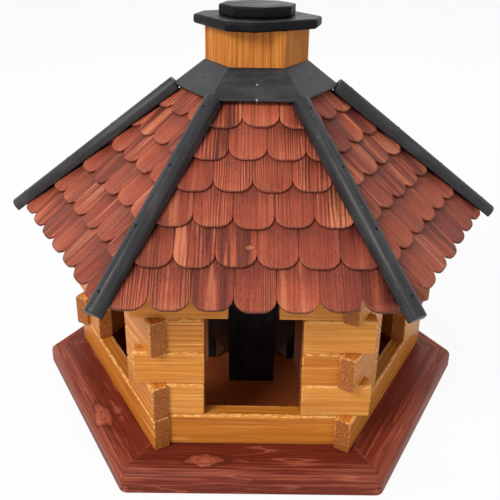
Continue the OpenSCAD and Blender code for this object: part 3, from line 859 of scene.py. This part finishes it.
def shingle(x, i):
    """A shingle of row i with its lower corners rounded, laid a little out of true."""
    bm = bmesh.new()
    half = (SHINGLE_W + SHINGLE_GAP - SHINGLE_JOINT) / 2
    face = bm.faces.new([bm.verts.new(p) for p in
                         ((-half, 0, 0), (half, 0, 0), (half, LAP_LEN, 0), (-half, LAP_LEN, 0))])
    low = [v for v in face.verts if v.co.y < GAP]
    bmesh.ops.bevel(bm, geom=low, offset=SHINGLE_R * dice.uniform(*SHINGLE_R_SPREAD), offset_type="OFFSET",
                    segments=7, profile=0.5, affect="VERTICES", material=-1)
    pull_out(bm, bm.faces[:], (0, 0, SHINGLE_T))
    bevel(bm, [e for e in bm.edges if min(v.co.z for v in e.verts) > SHINGLE_T / 2], SHINGLE_EASE, 1)
    mark(bm, "YXZ", SHINGLE_RIM, SHINGLE_END_RIM)
    askew = Matrix.Rotation(math.radians(dice.uniform(-SHINGLE_ASKEW_DEG, SHINGLE_ASKEW_DEG)), 4, "Z")
    slipped = Vector((x, ROW_S[i] + dice.gauss(0, SHINGLE_SLIP_MM) * MM, TIP_H))
    tilt = Matrix.Rotation(-SHINGLE_TILT + math.radians(dice.uniform(0, SHINGLE_LIFT_DEG)), 4, "X")
    return place(bm, on_slope() @ Matrix.Translation(slipped) @ askew @ tilt)


def shingle_field(k):
    """Six rows of shingles, each row shifted half a shingle against the last, sawn off along the hips."""
    sense = -1 if k % 2 else 1
    pitch = SHINGLE_W + SHINGLE_GAP
    laid = []
    for i in range(ROWS):
        for j in range(-SHINGLES_BESIDE_MIDDLE, SHINGLES_BESIDE_MIDDLE + 1):
            x = (j + (i % 2) / 2) * pitch + sense * ROW_SHIFT[i]
            reach = (EAVE_U - ROW_S[i] * CP) * T30 - abs(x) + SHINGLE_W / 2
            if reach > SHINGLE_LEAST_W:
                bm = shingle(x, i)
                mitre(bm, SHINGLE_HIP_GAP)
                laid.append(place(bm, turned(k)))
    return laid


BLOCK_W = 120 * MM
BLOCK_H = 500 * MM
BLOCK_LEN = 400 * MM


def beside_ridge(planes):
    """A block under the ridge of the right corner, cut by planes that lie alike on both faces beside it."""
    block = plank(-BLOCK_W / 2, BLOCK_W / 2, 0, BLOCK_H, 0, BLOCK_LEN)
    for k in (1, 2):
        for (u, z), (out, up) in planes:
            cut(block, turned(k) @ Vector((0, -u, z)), (turned(k) @ Vector((0, -out, up))).normalized())
    return block


# The splits of some corners' battens: start and stop by share of the length, side, and depth in millimetres
SPLITS = {4: [(0.1, 0.94, 0.05, 1.8)], 5: [(0.06, 0.24, -0.3, 1.2), (0.27, 0.4, 0.25, 1.0)],
          0: [(0.3, 0.62, -0.3, 1.2)], 2: [(0.4, 0.9, 0.1, 1.4)]}
SPLIT_STEPS = 12
SPLIT_WANDER_MM = 0.3
SPLIT_HALF = 0.45 * MM
SPLIT_ABOVE = 0.6 * MM
SPLIT_END = 0.25


def split(start, stop, side, deep):
    """A thin wedge along a wandering line on a batten's round top, to be cut out of it."""
    bm = bmesh.new()
    rings = []
    for n in range(SPLIT_STEPS + 1):
        share = SPLIT_END + (1 - SPLIT_END) * math.sin(math.pi * n / SPLIT_STEPS)
        y = side * BATTEN_R + dice.uniform(-SPLIT_WANDER_MM, SPLIT_WANDER_MM) * MM
        z = BATTEN_MID + math.sqrt(BATTEN_R ** 2 - y ** 2)
        x = (start + (stop - start) * n / SPLIT_STEPS) * BATTEN_LEN
        half = SPLIT_HALF * share
        top = z + SPLIT_ABOVE
        rings.append([bm.verts.new(point) for point in
                      ((x, y - half, top), (x, y + half, top), (x, y, z - deep * MM * share))])
    for a, b in zip(rings, rings[1:]):
        for n in range(3):
            bm.faces.new((a[n], a[n - 1], b[n - 1], b[n]))
    bm.faces.new(rings[0])
    bm.faces.new(rings[-1])
    bmesh.ops.recalc_face_normals(bm, faces=bm.faces)
    return bm


def batten(j):
    """A ridge batten, round on top, cut to sit on the shingles' tops and over the collar's corner."""
    low = -BATTEN_DROP - BATTEN_RISE
    angles = [math.pi * n / 14 for n in range(15)]
    top = [(BATTEN_R * math.cos(a), BATTEN_MID + BATTEN_R * math.sin(a)) for a in angles]
    bm = moulding([(BATTEN_R, low)] + top + [(-BATTEN_R, low)], 0, BATTEN_LEN)
    ease(bm, ROUND_EASE, 2, math.radians(40))
    place(bm, on_hip(0))
    shingle_tops = ((EAVE_U, cover_z(EAVE_U, COVER_H)), (SP, CP))
    edge_u = COLLAR_U + GAP * (CP + SP)
    collar_edge = (edge_u, cover_z(edge_u, COLLAR_TOP + GAP))
    bm = carve(bm, beside_ridge([shingle_tops]))
    bm = carve(bm, beside_ridge([(collar_edge, (SP, CP)), (collar_edge, (CP, -SP))]))
    place(bm, on_hip(0).inverted())
    for line in SPLITS.get(j, ()):
        bm = carve(bm, split(*line))
    return place(mark(bm, rim_w=BLACK_RIM), on_hip(j))


def collar_board(k):
    """One board of the collar round the chimney's foot, with its lower edge cut thin from below."""
    edge_z = cover_z(COLLAR_U, COLLAR_TOP) - COLLAR_EDGE * CP
    back_u = COLLAR_LOW - (COLLAR_T - COLLAR_EDGE) * CP / SLOPE
    bm = moulding([(-back_u, edge_z), (-HOLE_A, cover_z(HOLE_A, COLLAR_H)),
                   (-HOLE_A, cover_z(HOLE_A, COLLAR_TOP)), (-COLLAR_U, cover_z(COLLAR_U, COLLAR_TOP)),
                   (-COLLAR_U + COLLAR_EDGE * SP, edge_z)], -COLLAR_U, COLLAR_U)
    mitre(bm)
    ease(bm, COLLAR_EASE, 2)
    return place(mark(bm, rim_w=BLACK_RIM), turned(k))


def pin_head(at, width):
    """A small flat dome that stands a little proud."""
    bm = bmesh.new()
    bmesh.ops.create_uvsphere(bm, u_segments=10, v_segments=6, radius=width / 2)
    cut(bm, (0, 0, -GAP), (0, 0, -1))
    return place(bm, at @ Matrix.Diagonal((1, 1, PIN_FLATNESS, 1)))


def batten_pin_heads():
    """Four heads along each batten's top."""
    on_top = [Matrix.Translation((BATTEN_LEN * q, 0, BATTEN_H - BATTEN_DROP)) for q in BATTEN_PIN_SPOTS]
    return [pin_head(on_hip(j) @ spot, BATTEN_PIN_W) for j in range(6) for spot in on_top]


def collar_pin_heads(faces):
    """Two heads on the middle line of each of those collar boards."""
    rows = [(EAVE_U - u) / CP for u in (HOLE_A + COLLAR_PIN_INNER, COLLAR_LOW - COLLAR_PIN_OUTER)]
    return [pin_head(turned(k) @ on_slope(COLLAR_TOP) @ Matrix.Translation((0, s, 0)), COLLAR_PIN_W)
            for k in faces for s in rows]


def silo_board(k, z0, z1):
    """An upright board of the silo or the chimney, with its face toward the axis marked as inside."""
    bm = plank(-SILO_A, -SILO_A + SILO_T, z0, z1, -SILO_A, SILO_A)
    mitre(bm)
    ease(bm, FINE_EASE, 2)
    mark(bm, "ZXY", SILO_RIM)
    inside = bm.verts.layers.float.new("inside")
    for v in bm.verts:
        v[inside] = 1.0 if v.co.y > -SILO_A + SILO_T - GAP else 0.0
    return place(bm, turned(k))


# The cap

def cut_plate(w, cut_w, t, z, turn, edge):
    """A square plate with its corners cut to cut_w and its edges rounded, the level ones more."""
    bm = bmesh.new()
    middle = Matrix.Translation((0, 0, z + t / 2))
    bmesh.ops.create_cube(bm, size=1, matrix=middle @ Matrix.Diagonal((w, w, t, 1)))
    for n in range(4):
        normal = Matrix.Rotation(math.radians(45 + 90 * n), 3, "Z") @ Vector((1, 0, 0))
        cut(bm, normal * (cut_w / 2), normal)
    for upright, radius, segments in ((True, edge / 2, 3), (False, edge, 5)):
        picked = [e for e in bm.edges if (abs(e.verts[0].co.z - e.verts[1].co.z) > GAP) == upright
                  and e.calc_face_angle() > math.radians(20)]
        bevel(bm, picked, radius, segments)
    mark(bm, rim_w=CAP_RIM)
    rim = bm.verts.layers.float["rim"]
    bmesh.ops.remove_doubles(bm, verts=[v for v in bm.verts if v[rim] == 0], dist=1 * MM)
    return place(bm, Matrix.Rotation(turn, 4, "Z"))


def dress_with_pieces():
    """Makes every new piece, in an order that also sets the order of the random draws."""
    for k, face in enumerate(FACES):
        piece("stained_board_" + face, [base_board(k)], "base", STAIN, ["base_board_" + face])
        piece("honey_sill_" + face, [sill(k)], "base", SILL_HONEY, ["sill_" + face])
        piece("honey_logs_" + face, wall_logs(k), "base", HONEY, ["logs_" + face])
        piece("panel_" + face, [roof_panel(k)], "roof", PALE, ["roof_panel_" + face])
        piece("shingle_field_" + face, shingle_field(k), "roof", TILE, ["shingles_" + face])
    for j, corner in enumerate(CORNERS):
        piece("ridge_batten_" + corner, [batten(j)], "roof", BLACK,
              ["batten_" + corner])
    piece("stained_floor", [floor_panel()], "base", FLOOR_STAIN, ["floor_panel"])
    piece("bevelled_plates", [wall_plate(k) for k in range(6)], "base", HONEY, ["wall_plates"])
    piece("collar", [collar_board(k) for k in range(6)], "roof", BLACK,
          ["collar_boards"])
    piece("batten_pin_heads", batten_pin_heads(), "roof", PIN_BLACK)
    piece("collar_pin_heads", collar_pin_heads(range(1, 6)), "roof", PIN_BLACK)
    # Only the front collar board's two heads are steel; the other boards' heads are black
    piece("front_collar_steel_pin_heads", collar_pin_heads([0]), "roof", PIN_STEEL)
    piece("chimney", [silo_board(k, JOINT_Z + GAP, CHIMNEY_TOP) for k in range(6)], "roof",
          CHIMNEY, ["chimney_boards"])
    piece("silo_long", [silo_board(k, SILO_Z, JOINT_Z) for k in (0, 2, 4)], "roof",
          SILO_BLACK, ["silo_boards_long"])
    piece("silo_short", [silo_board(k, SILO_Z + OUTLET_H, JOINT_Z) for k in (1, 3, 5)], "roof",
          SILO_BLACK, ["silo_boards_short"])
    cap_z = CHIMNEY_TOP + GAP
    knob_z = cap_z + CAP_T + GAP
    piece("cap_plate", [cut_plate(CAP_W, CAP_CUT_W, CAP_T, cap_z, CAP_TURN, CAP_EDGE)], "cap",
          CAP_BLACK, ["cap_lower_plate"])
    piece("cap_knob", [cut_plate(KNOB_W, KNOB_W, KNOB_T, knob_z, CAP_TURN + KNOB_TURN, KNOB_EDGE)], "cap",
          CAP_BLACK, ["cap_upper_plate"])


SOLID_FINISHES = {
    "base_tongues": PALE_SOLID, "wall_dowels": PALE_SOLID, "roof_bearer": PALE_SOLID,
    "eave_strips": PALE_SOLID, "cap_plug": PALE_SOLID, "floor_nails": STEEL, "cap_screws": STEEL,
    "batten_pins": PIN_BLACK, "collar_pins": PIN_STEEL,
}


def finish_solids():
    """The pieces whose solids need no more shape only take a finish."""
    for name, material in SOLID_FINISHES.items():
        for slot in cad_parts[name].material_slots:
            slot.material = material


# The studio

CAMERA_PLACE = Vector((-6.87, -550.5, 392.2)) * MM
CAMERA_YAW = math.radians(0.36)
CAMERA_DOWN = math.radians(22.81)
CAMERA_ROLL = math.radians(0.94)
SENSOR = 36
FOCAL_PIXELS = 670.5
FRAME_PIXELS = 500
CENTRE_DROP = -40
FLOOR_SIZE = 6
FLOOR_DROP = 0.5 * MM
FLOOR_WHITE = 0.92
SKY_STRENGTH = 0.47


def camera():
    """The photograph's view: its right, up and back directions from the yaw, the pitch down and the roll."""
    ahead = Vector((math.sin(CAMERA_YAW) * math.cos(CAMERA_DOWN),
                    math.cos(CAMERA_YAW) * math.cos(CAMERA_DOWN), -math.sin(CAMERA_DOWN)))
    level = Vector((math.cos(CAMERA_YAW), -math.sin(CAMERA_YAW), 0))
    right = level * math.cos(CAMERA_ROLL) + level.cross(ahead) * math.sin(CAMERA_ROLL)
    up = right.cross(ahead)
    data = bpy.data.cameras.new("camera")
    data.sensor_width = SENSOR
    data.lens = FOCAL_PIXELS / FRAME_PIXELS * SENSOR
    data.shift_y = CENTRE_DROP / FRAME_PIXELS
    data.clip_start = 0.01
    made = bpy.data.objects.new("camera", data)
    made.matrix_world = Matrix.Translation(CAMERA_PLACE) @ Matrix((right, up, -ahead)).transposed().to_4x4()
    bpy.context.scene.collection.objects.link(made)
    bpy.context.scene.camera = made


def lamp(name, at, aim, size, power, colour):
    """A square area lamp that points at its aim."""
    data = bpy.data.lights.new(name, "AREA")
    data.size = size
    data.energy = power
    data.color = colour
    made = bpy.data.objects.new(name, data)
    made.location = at
    made.rotation_euler = (Vector(aim) - Vector(at)).to_track_quat("-Z", "Y").to_euler()
    bpy.context.scene.collection.objects.link(made)


def seen_rays(tree):
    """1 for the rays that see the background: the camera's, reflections and those through glass."""
    path = node(tree, "ShaderNodeLightPath").outputs
    return maths(tree, "MAXIMUM", path["Is Camera Ray"],
                 maths(tree, "MAXIMUM", path["Is Glossy Ray"], path["Is Transmission Ray"]))


def floor():
    """A pale floor that shows white by a set share to the rays that see it, and the shadows by the rest."""
    mesh = bpy.data.meshes.new("floor")
    bm = bmesh.new()
    bmesh.ops.create_grid(bm, x_segments=1, y_segments=1, size=FLOOR_SIZE)
    bmesh.ops.translate(bm, verts=bm.verts, vec=(0, 0, -FLOOR_DROP))
    bm.to_mesh(mesh)
    bm.free()
    made = bpy.data.objects.new("floor", mesh)
    bpy.context.scene.collection.objects.link(made)
    material, tree, shader = new_material("studio floor")
    feed(tree, shader.inputs, {"Base Color": (0.86, 0.86, 0.86, 1), "Roughness": 0.9})
    white = node(tree, "ShaderNodeEmission", {"Color": (1, 1, 1, 1), "Strength": 1.0})
    both = node(tree, "ShaderNodeMixShader", {0: times(tree, seen_rays(tree), FLOOR_WHITE),
                                              1: shader.outputs[0], 2: white.outputs[0]})
    feed(tree, tree.nodes["Material Output"].inputs, {"Surface": both.outputs[0]})
    mesh.materials.append(material)


def studio_world():
    """A soft sky that lights the feeder, and white for the rays that see it."""
    world = bpy.data.worlds.new("studio")
    world.use_nodes = True
    bpy.context.scene.world = world
    tree = world.node_tree
    tree.nodes.clear()
    sky = node(tree, "ShaderNodeBackground", {"Color": (0.95, 0.97, 1.0, 1), "Strength": SKY_STRENGTH})
    white = node(tree, "ShaderNodeBackground", {"Color": (1, 1, 1, 1), "Strength": 1.0})
    both = node(tree, "ShaderNodeMixShader", {0: seen_rays(tree), 1: sky.outputs[0], 2: white.outputs[0]})
    node(tree, "ShaderNodeOutputWorld", {"Surface": both.outputs[0]})


dress_with_pieces()
finish_solids()
camera()
floor()
studio_world()
lamp("key", at=(-1.05, -1.25, 1.45), aim=(0, 0, 0.15), size=0.8, power=32, colour=(1.0, 0.98, 0.95))
lamp("fill", at=(1.4, -1.0, 0.8), aim=(0, 0, 0.15), size=1.2, power=2.6, colour=(0.96, 0.98, 1.0))
lamp("back", at=(0.2, 1.6, 1.3), aim=(0, 0, 0.2), size=1.2, power=9, colour=(1.0, 1.0, 1.0))
bpy.context.scene.view_settings.view_transform = "Standard"
